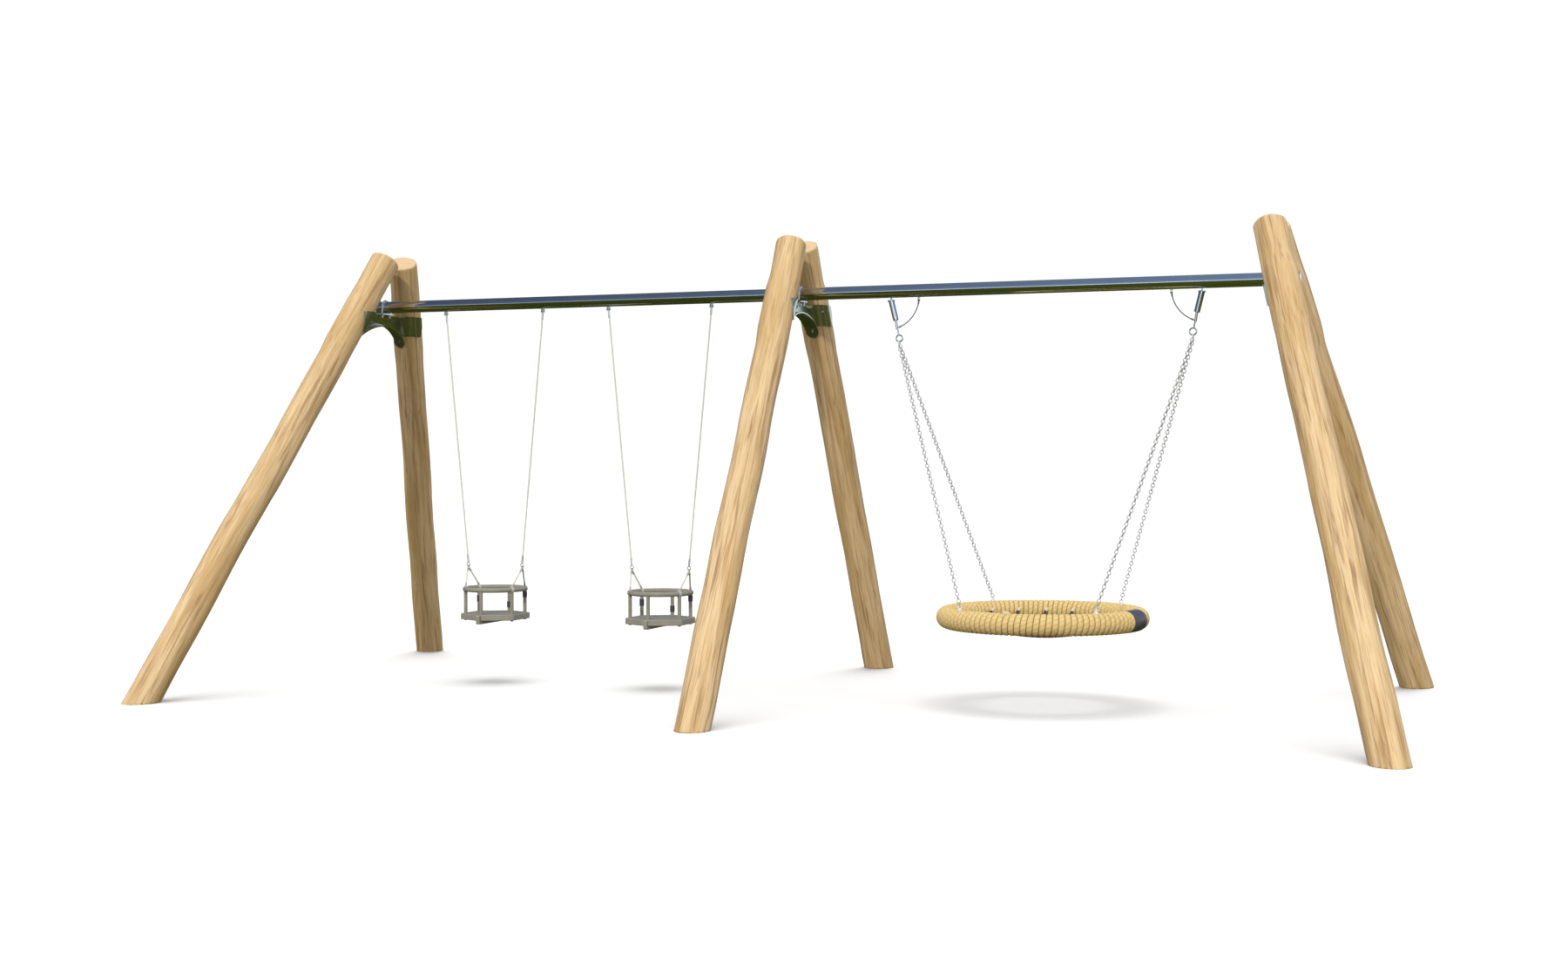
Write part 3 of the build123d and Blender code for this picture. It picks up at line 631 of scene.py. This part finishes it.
# ---- cradles --------------------------------------------------------------------------------
class SWING_OT_cradles(bpy.types.Operator):
    """Cradle seats: moulded finishes, and their wire ropes and bridles as laid strands"""

    bl_idname = "swing.cradles"
    bl_label = "Cradle seats"

    def execute(self, context):
        seat, rope = context.scene.swing_seat, context.scene.swing_rope
        body = finish_material("seat_board", moulded_effect,
                               {"Body": rgba(seat.body), "Worn": rgba(seat.body, 1.35), "Gloss": 0.42},
                               0.22, 0.0004)
        tube = finish_material("seat_tube", moulded_effect,
                               {"Body": rgba(seat.body, 0.97), "Worn": rgba(seat.body, 1.3), "Gloss": 0.34},
                               0.12, 0.0003)
        # The dark bands on two bars of each seat get this flat dark colour.
        dark_band = finish_material("seat_rubber", moulded_effect,
                               {"Body": rgba(seat.dark_band), "Worn": rgba(seat.dark_band, 1.9), "Gloss": 0.4},
                               0.25, 0.0004)
        # Lit and shaded copies of the wire colour: painted shade in the valleys between strands, and the
        # darker copy also tints the dirt.
        wire = finish_material("wire_rope", fibre_effect,
                               {"Twists": 60.0, "Strands": 42.0, "Light": rgba(rope.wire),
                                "Shade": rgba(rope.wire, 0.6)}, 0.2, 0.0002, Metallic=0.15)
        for cradle in CRADLES:
            paint(body, f"{cradle}_board")
            paint(tube, f"{cradle}_ring", f"{cradle}_bars", f"{cradle}_keel")
            paint(dark_band, f"{cradle}_cuffs")
            middle = JOINTS[f"{cradle}_swing"]["pos_m"][0]
            split = JOINTS[f"{cradle}_tilt"]["pos_m"][2]
            for side, s in (("left", -1), ("right", 1)):
                self.line(rope, wire, cradle, side, s)
                self.bridle(rope, wire, cradle, side, s, middle, split)
        return {"FINISHED"}

    def line(self, rope, wire, cradle, side, s):
        low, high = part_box(f"{cradle}_line_{side}")
        radius = (high.y - low.y) / 2
        edges = (low.x + radius, high.x - radius)
        top, foot = edges if s < 0 else edges[::-1]
        path, run = straight(Vector((top, 0, high.z)), Vector((foot, 0, low.z)))
        bm = bmesh.new()
        laid(bm, path, run, radius, 6, rope.lay)
        piece(f"{cradle}_wire_{side}", bm, wire, f"{cradle}_lines", [f"{cradle}_line_{side}"])

    def bridle(self, rope, wire, cradle, side, s, middle, split):
        hang = middle + s * LINE_SPLIT
        bm = bmesh.new()
        torus(bm, (hang, 0, split - 3.7 * MM), (1, 0, 0), 10 * MM, 3 * MM)
        for t in (-1, 1):
            along, across = math.cos(STRAP_ANGLE), math.sin(STRAP_ANGLE)
            foot = Vector((middle + s * RING_R * along, t * RING_R * across, RING_Z))
            tangent = Vector((-s * across, t * along, 0))
            start = Vector((hang, t * 7 * MM, split - 12 * MM))
            end = foot + Vector((0, 0, RING_TUBE + 2 * MM))
            path, run = straight(start, end)
            laid(bm, path, run, 5.5 * MM, 6, rope.lay * 0.7)
            stud(bm, start, start.lerp(end, 0.17), 6.4 * MM, soften=1.2 * MM)
            stud(bm, end, end.lerp(start, 0.17), 6.4 * MM, soften=1.2 * MM)
            stud(bm, foot - tangent * 9 * MM, foot + tangent * 9 * MM, RING_TUBE + 4.5 * MM, sides=36,
                 soften=2.5 * MM)
        piece(f"{cradle}_strap_{side}", bm, wire, f"{cradle}_seat",
              [f"{cradle}_bridle_{side}"])


# ---- nest -----------------------------------------------------------------------------------
class SWING_OT_hoop(bpy.types.Operator):
    """Nest hoop: one rope wound round it turn by turn, and the smooth joint sleeve"""

    bl_idname = "swing.hoop"
    bl_label = "Wound hoop"

    def execute(self, context):
        rope, seat = context.scene.swing_rope, context.scene.swing_seat
        # Painted shade: the hoop rope darkens to its shade colour in the valleys of its strands and in the
        # grooves between turns; the same colour tints its dirt.
        tan = finish_material("hoop_rope", fibre_effect,
                              {"Twists": 13.37 * rope.turns, "Strands": 1.0, "Strand shade": 0.3, "Groove shade": 0.7,
                               "Light": rgba(rope.tan), "Shade": rgba(rope.shade)},
                              0.3, 0.0010, Specular_IOR_Level=0.25)
        sleeve = finish_material("sleeve_plastic", moulded_effect,
                                 {"Body": rgba(seat.sleeve), "Worn": rgba(seat.sleeve, 1.8), "Gloss": 0.33},
                                 0.2, 0.0004)
        paint(sleeve, "nest_sleeve")
        first, span = SLEEVE_AT + SLEEVE_HALF, math.tau - 2 * SLEEVE_HALF
        thick = 20 * MM
        middle = HOOP_TUBE - thick / 2
        inset = 0.0046                    # part of the span from the sleeve to the first turn's middle

        def surface(u, v):
            # v winds the rope round the hoop; u goes round the flattened rope itself.  The first and
            # the last turn lie square beside the sleeve, so that no wedge stays open there.
            wound = v * rope.turns * math.tau
            tilt = math.tau * u
            passed = clamped((v * rope.turns - 1) / (rope.turns - 2))
            major = first + span * (inset + (1 - 2 * inset) * passed)
            out = Vector((math.cos(major), math.sin(major), 0))
            lift = Vector((0, 0, 1))
            around = math.cos(wound) * out + math.sin(wound) * lift
            along = Vector((-math.sin(major), math.cos(major), 0))
            local = HOOP_R + middle * math.cos(wound)
            width = span * local / (rope.turns - 2)
            squash = (abs(math.cos(tilt)) ** 0.9) * math.copysign(1, math.cos(tilt))
            centre = Vector((NEST_X, 0, HOOP_Z)) + out * HOOP_R + around * middle
            uneven = 1.0 + 0.05 * noise.noise(Vector((wound * 0.9, 0.0, 4.0)))
            return centre + around * (thick / 2) * math.sin(tilt) * min(1.0, uneven) \
                + along * (width / 2) * squash

        bm = bmesh.new()
        rolled(bm, 12, rope.turns * 38, surface)
        piece("nest_rope_winding", bm, tan, "nest_basket", ["nest_winding"])
        return {"FINISHED"}


def net_end(offset):
    """Half length of the net rope at an offset from the middle, to the inside of the hoop."""
    return math.sqrt((HOOP_R - HOOP_TUBE) ** 2 - offset ** 2)


def net_height(offset, u):
    """Height of the net rope at an offset, u along it, before the two layers part."""
    reach = net_end(offset)
    low = NET_LOW + (HOOP_Z - NET_LOW) * (offset / (HOOP_R - HOOP_TUBE)) ** 2
    sag = HOOP_Z - low
    big = (reach ** 2 + sag ** 2) / (2 * sag)
    return low + big - math.sqrt(big ** 2 - u ** 2)


class SWING_OT_net(bpy.types.Operator):
    """Net of the nest: two crossing layers of three-strand rope"""

    bl_idname = "swing.net"
    bl_label = "Net ropes"

    def execute(self, context):
        rope = context.scene.swing_rope
        # Lit and shaded copies of the net colour: painted shade in the valleys between strands, and the
        # darker copy also tints the dirt.
        dark = finish_material("net_rope", fibre_effect,
                               {"Twists": 70.0, "Strands": 9.0, "Light": rgba(rope.net, 1.5),
                                "Shade": rgba(rope.net, 0.5)}, 0.4, 0.0006, Specular_IOR_Level=0.2)
        for name, lift, cross in (("long", -NET_LAYER, False), ("cross", NET_LAYER, True)):
            bm = bmesh.new()
            for offset in NET_OFFSETS:
                u = net_end(offset) - 30 * MM
                points = []
                for along in (-u, 0, u):
                    flat = (offset, along) if cross else (along, offset)
                    points.append(Vector((NEST_X + flat[0], flat[1], net_height(offset, along) + lift)))
                path, run = bowed(*points)
                laid(bm, path, run, NET_R, 3, 55 * MM, per_strand=5)
            piece(f"nest_net_ropes_{name}", bm, dark, "nest_basket", [f"nest_net_{name}"])
        return {"FINISHED"}


def link(bm, place, pitch, width, wire):
    """Stadium-shaped chain link, long way along Z, made from two half rings and two sides."""
    before = set(bm.verts)
    major = (width - wire) / 2
    shift = pitch / 2 + wire / 2 - major
    sides = 6
    for s in (-1, 1):
        start = bmesh.ops.create_circle(
            bm, segments=sides, radius=wire / 2,
            matrix=Matrix.Translation((-s * major, 0, s * shift)))["verts"]
        edges = list({e for v in start for e in v.link_edges})
        bmesh.ops.spin(bm, geom=start + edges, cent=(0, 0, s * shift), axis=(0, 1, 0),
                       angle=math.pi, steps=5)
    made = [v for v in bm.verts if v not in before]
    loose = [e for e in {e for v in made for e in v.link_edges} if len(e.link_faces) < 2]
    for s in (-1, 1):
        near = [e for e in loose if all(v.co.x * s > 0 for v in e.verts)]
        bmesh.ops.bridge_loops(bm, edges=near)
    bmesh.ops.transform(bm, matrix=place, verts=made)


class SWING_OT_chains(bpy.types.Operator):
    """Four short-link chains of the nest, their shackles and the eyes on the hoop"""

    bl_idname = "swing.chains"
    bl_label = "Chains"

    def execute(self, context):
        steel = context.scene.swing_steel
        chain = finish_material("chain_steel", steel_effect,
                                {"Size": 4.0, "Light": rgba(steel.bright, 0.92),
                                 "Dull": rgba(steel.bright, 0.62), "Gloss": 0.22, "Spread": 0.2},
                                0.1, 0.0003, Metallic=0.5)
        fitting = finish_material("fitting_steel", steel_effect,
                                  {"Size": 3.0, "Light": rgba(steel.bright, 1.1),
                                   "Dull": rgba(steel.bright, 0.9), "Gloss": 0.15, "Spread": 0.15},
                                  0.05, 0.0003, Metallic=0.45)
        fittings = bmesh.new()
        for where, s in (("left", -1), ("right", 1)):
            shackle = Vector((NEST_X + s * RING_X, 0, LINK_Z - 5.2 * MM))
            torus(fittings, shackle, (1, 0, 0), 13 * MM, 3.5 * MM)
            bm = bmesh.new()
            for t in (-1, 1):
                foot = Vector((NEST_X + s * CHAIN_FOOT, t * CHAIN_FOOT, HOOP_Z + HOOP_TUBE))
                self.foot(fittings, foot, s, t)
                start = shackle + Vector((0, t * 6 * MM, -11.5 * MM))
                self.run(bm, steel, start, foot + Vector((0, 0, 21 * MM)))
            for v in bm.verts:
                v.co.z = min(v.co.z, LINK_Z + 2 * MM)
            piece(f"nest_chain_links_{where}", bm, chain, "nest_basket",
                  [f"nest_chains_{where}"])
        piece("nest_chain_eyes", fittings, fitting, "nest_basket", ["nest_chain_fittings"])
        return {"FINISHED"}

    def foot(self, bm, foot, s, t):
        """Bright washer and eye where a chain meets the hoop."""
        stud(bm, foot - Vector((0, 0, 5 * MM)), foot + Vector((0, 0, 4 * MM)), 15 * MM, 12 * MM,
             sides=32, soften=1.5 * MM)
        stud(bm, foot + Vector((0, 0, 2 * MM)), foot + Vector((0, 0, 8 * MM)), 7 * MM, soften=1 * MM)
        torus(bm, foot + Vector((0, 0, 13 * MM)), (s, -t, 0), 10 * MM, 3.6 * MM)

    def run(self, bm, steel, start, end):
        """Links from start to end, every second one turned a quarter."""
        axis = end - start
        number = round(axis.length / steel.pitch)
        pitch = axis.length / number
        turn = axis.to_track_quat("Z", "X").to_matrix().to_4x4()
        for n in range(number):
            quarter = Matrix.Rotation(math.pi / 4 + math.pi / 2 * (n % 2), 4, "Z")
            place = Matrix.Translation(start + axis * ((n + 0.5) / number)) @ turn @ quarter
            link(bm, place, pitch, steel.width, steel.wire_size)


class SWING_OT_cables(bpy.types.Operator):
    """Safety cables of the nest: bowed wire ropes with a bush and a ferrule"""

    bl_idname = "swing.cables"
    bl_label = "Safety cables"

    def execute(self, context):
        rope = context.scene.swing_rope
        # Lit and shaded copies of the wire colour: painted shade in the valleys between strands, and the
        # darker copy also tints the dirt.
        wire = finish_material("cable_wire", fibre_effect,
                               {"Twists": 20.0, "Strands": 42.0, "Light": rgba(rope.wire, 0.42),
                                "Shade": rgba(rope.wire, 0.15)}, 0.3, 0.0003, Metallic=0.6)
        for side, s in (("left", -1), ("right", 1)):
            eye = Vector((NEST_X + s * CABLE_EYE_X, 0, JOINTS["nest_swing"]["pos_m"][2]))
            tie = Vector((NEST_X + s * CABLE_TIE_X, 0, CABLE_TIE_Z))
            across, drop = tie.x - eye.x, eye.z - tie.z
            start = tie - Vector((s * 7.4 * MM, 0, 0))
            middle = Vector((eye.x + across * 0.35, 0, tie.z + drop * 0.34))
            end = eye - Vector((0, 0, 4 * MM))
            path, run = bowed(start, middle, end)
            bm = bmesh.new()
            laid(bm, path, run, 3.5 * MM, 6, 32 * MM)
            torus(bm, eye, (1, 0, 0), 4.5 * MM, 1.5 * MM, steps=20, sides=8)
            stud(bm, path(0.90)[0], path(0.98)[0], 4.4 * MM, soften=0.8 * MM)
            stud(bm, path(0.015)[0], path(0.09)[0], 4.4 * MM, soften=0.8 * MM)
            piece(f"nest_cable_{side}", bm, wire, "nest_hangers",
                  [f"nest_safety_cable_{side}"])
        return {"FINISHED"}


# ---- stage ----------------------------------------------------------------------------------
class SWING_OT_stage(bpy.types.Operator):
    """Pale floor, soft light from above, key light and camera"""

    bl_idname = "swing.stage"
    bl_label = "Stage"

    def execute(self, context):
        settings = context.scene.swing_stage
        self.floor(context)
        self.world(context, settings)
        self.lamp(context, "key", settings.key, 3, (1.0, 0.965, 0.90), (-0.14, 1.0, -0.62), "EXCLUDE")
        self.lamp(context, "overhead", settings.overhead, 40, (1, 1, 1), (0, 0, -1), "INCLUDE")
        lens = bpy.data.cameras.new("camera")
        lens.sensor_width = 36
        lens.lens = settings.lens
        camera = bpy.data.objects.new("camera", lens)
        camera.location = settings.camera
        camera.rotation_euler = settings.turn
        context.scene.collection.objects.link(camera)
        context.scene.camera = camera
        context.scene.view_settings.view_transform = "Standard"
        return {"FINISHED"}

    def lamp(self, context, name, strength, angle, tint, way, floor_state):
        """Sun lamp that skips the floor, or lights nothing else."""
        lamp = bpy.data.lights.new(name, "SUN")
        lamp.energy = strength
        lamp.angle = math.radians(angle)
        lamp.color = tint
        sun = bpy.data.objects.new(name, lamp)
        sun.rotation_euler = Vector(way).to_track_quat("-Z", "Y").to_euler()
        sun.visible_glossy = False
        context.scene.collection.objects.link(sun)
        linked = bpy.data.collections.new(f"{name}_floor")
        linked.objects.link(bpy.data.objects["floor"])
        sun.light_linking.receiver_collection = linked
        linked.collection_objects[0].light_linking.link_state = floor_state

    def floor(self, context):
        bm = bmesh.new()
        bmesh.ops.create_grid(bm, x_segments=1, y_segments=1, size=60)
        mesh = bpy.data.meshes.new("floor")
        bm.to_mesh(mesh)
        bm.free()
        floor = bpy.data.objects.new("floor", mesh)
        context.scene.collection.objects.link(floor)
        material = bpy.data.materials.new("floor")
        material.use_nodes = True
        tree = material.node_tree
        shader = tree.nodes["Principled BSDF"]
        place = tree.nodes.new("ShaderNodeTexCoord").outputs["Object"]
        cloud = noise_node(tree, place, 1.5, 3, 0.5)
        tree.links.new(blend_colours(tree, cloud, (0.60, 0.60, 0.60, 1), (0.62, 0.62, 0.62, 1)),
                       shader.inputs["Base Color"])
        shader.inputs["Roughness"].default_value = 1.0
        shader.inputs["Specular IOR Level"].default_value = 0.0
        mesh.materials.append(material)
        floor.visible_diffuse = False
        floor.visible_glossy = False

    def world(self, context, settings):
        """White to the camera; open sky and dull ground to the light and to reflections."""
        world = bpy.data.worlds.new("studio")
        context.scene.world = world
        world.use_nodes = True
        tree = world.node_tree
        tree.nodes.clear()
        way = tree.nodes.new("ShaderNodeTexCoord").outputs["Generated"]
        east, north, up = add(tree, "ShaderNodeSeparateXYZ", {0: way}).outputs
        reflected = add(tree, "ShaderNodeValToRGB", {0: math_node(tree, "MULTIPLY_ADD", up, 0.5, 0.5)})
        stops = reflected.color_ramp
        stops.elements[0].position, stops.elements[0].color = 0.0, (0.030, 0.040, 0.006, 1)
        stops.elements[1].position, stops.elements[1].color = 1.0, (0.105, 0.145, 0.22, 1)
        for position, shade in ((0.47, (0.045, 0.055, 0.010, 1)), (0.495, (0.06, 0.07, 0.03, 1)),
                                (0.51, (0.95, 0.95, 0.90, 1)), (0.53, (0.55, 0.68, 0.86, 1)),
                                (0.60, (0.125, 0.20, 0.36, 1)), (0.80, (0.100, 0.145, 0.235, 1))):
            stops.elements.new(position).color = shade
        # The sky clears towards one side; a bright cloud stands low behind the viewer.
        clear = math_node(tree, "MULTIPLY_ADD", ramp(tree, east, -0.55, 0.0), 1.1, 0.55)
        clear = math_node(tree, "MAXIMUM", clear, math_node(tree, "LESS_THAN", up, 0.0))
        cloud = math_node(tree, "MULTIPLY", ramp(tree, east, 0.0, 0.22), ramp(tree, north, -0.55, -0.85))
        cloud = math_node(tree, "MULTIPLY", cloud, ramp(tree, up, -0.02, 0.04))
        seen = add(tree, "ShaderNodeVectorMath", {0: reflected.outputs[0], "Scale": clear},
                   operation="SCALE").outputs[0]
        seen = blend_colours(tree, cloud, seen, (1.25, 1.25, 1.2, 1))
        soft = add(tree, "ShaderNodeValToRGB", {0: math_node(tree, "MULTIPLY_ADD", up, 0.5, 0.5)})
        ground, zenith = soft.color_ramp.elements
        ground.position, ground.color = 0.44, (0.26, 0.235, 0.16, 1)
        zenith.position, zenith.color = 0.56, (1, 1, 1, 1)
        rays = tree.nodes.new("ShaderNodeLightPath").outputs
        light = add(tree, "ShaderNodeBackground", {"Color": soft.outputs[0], "Strength": settings.sky})
        mirror = add(tree, "ShaderNodeBackground", {"Color": seen, "Strength": 1.0})
        white = add(tree, "ShaderNodeBackground", {"Color": (1, 1, 1, 1), "Strength": 1.05})
        first = add(tree, "ShaderNodeMixShader", {0: rays["Is Glossy Ray"], 1: light.outputs[0],
                    2: mirror.outputs[0]})
        second = add(tree, "ShaderNodeMixShader", {0: rays["Is Camera Ray"], 1: first.outputs[0],
                     2: white.outputs[0]})
        tree.links.new(second.outputs[0], tree.nodes.new("ShaderNodeOutputWorld").inputs[0])


class SWING_PT_panel(bpy.types.Panel):
    """Lists the parts of the swing set"""

    bl_idname = "SWING_PT_panel"
    bl_label = "Swing Set"
    bl_space_type = "VIEW_3D"
    bl_region_type = "UI"
    bl_category = "Swing Set"

    def draw(self, context):
        for operator in OPERATORS:
            self.layout.operator(operator.bl_idname)
        for name, group in SETTINGS.items():
            box = self.layout.box()
            for key in group.__annotations__:
                box.prop(getattr(context.scene, name), key)


OPERATORS = (SWING_OT_stage, SWING_OT_timber, SWING_OT_steel, SWING_OT_cradles, SWING_OT_hoop, SWING_OT_net,
             SWING_OT_chains, SWING_OT_cables)
CLASSES = tuple(SETTINGS.values()) + OPERATORS + (SWING_PT_panel,)


def register():
    for item in CLASSES:
        bpy.utils.register_class(item)
    for name, group in SETTINGS.items():
        setattr(bpy.types.Scene, name, PointerProperty(type=group))


def unregister():
    for name in SETTINGS:
        delattr(bpy.types.Scene, name)
    for item in reversed(CLASSES):
        bpy.utils.unregister_class(item)


def main():
    register()
    bpy.ops.swing.stage()
    bpy.ops.swing.timber()
    bpy.ops.swing.steel()
    bpy.ops.swing.cradles()
    bpy.ops.swing.hoop()
    bpy.ops.swing.net()
    bpy.ops.swing.chains()
    bpy.ops.swing.cables()


if __name__ == "__main__":
    main()
